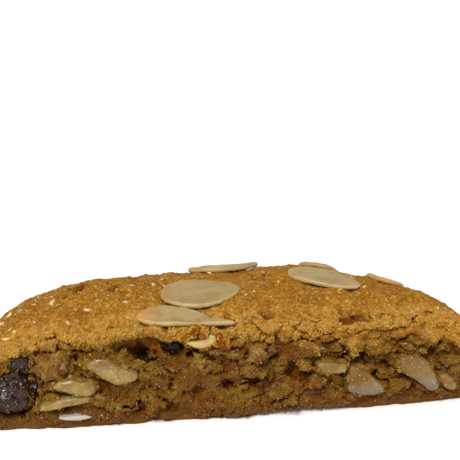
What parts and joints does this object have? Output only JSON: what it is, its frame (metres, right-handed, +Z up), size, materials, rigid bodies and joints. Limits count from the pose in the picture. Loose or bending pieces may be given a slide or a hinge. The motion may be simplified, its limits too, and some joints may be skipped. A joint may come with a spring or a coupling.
{
  "type": "florentine cookie",
  "caption": "Half of a thick florentine cookie: browned crust with flaked almonds and a rough torn face with almond pieces and dark dried fruit.",
  "frame": {"origin": "middle of the bounding box's bottom face, on the surface the flat base rests on", "axes": "+X along the tear, to the right as the torn face is seen; +Y away from the torn face, towards the round rim; +Z up through the crust"},
  "size_m": [0.1078, 0.0524, 0.0234],
  "materials": {
    "baked_dough": "matt crumbly baked dough, golden brown",
    "flaked_almond": "satin pale almond slice",
    "almond_piece": "satin beige almond, moist in places",
    "dried_fruit": "wet, nearly black dried fruit"
  },
  "bodies": {
    "root": {"dough": "baked_dough", "flake_front": "flaked_almond", "flake_back": "flaked_almond", "flake_right": "flaked_almond", "flake_left": "flaked_almond", "flake_middle": "flaked_almond", "flake_rear": "flaked_almond", "flake_rear_right": "flaked_almond", "flake_rim_right": "flaked_almond", "nut_under_flake": "almond_piece", "nut_wet": "almond_piece", "nut_pale": "almond_piece", "nut_thin": "almond_piece", "nut_sliver": "almond_piece", "nut_bar": "almond_piece", "nut_wedge": "almond_piece", "nut_bean": "almond_piece", "nut_end": "almond_piece", "raisin_large": "dried_fruit", "raisin_upper": "dried_fruit", "raisin_cave": "dried_fruit", "raisin_right": "dried_fruit"}
  },
  "joints": []
}
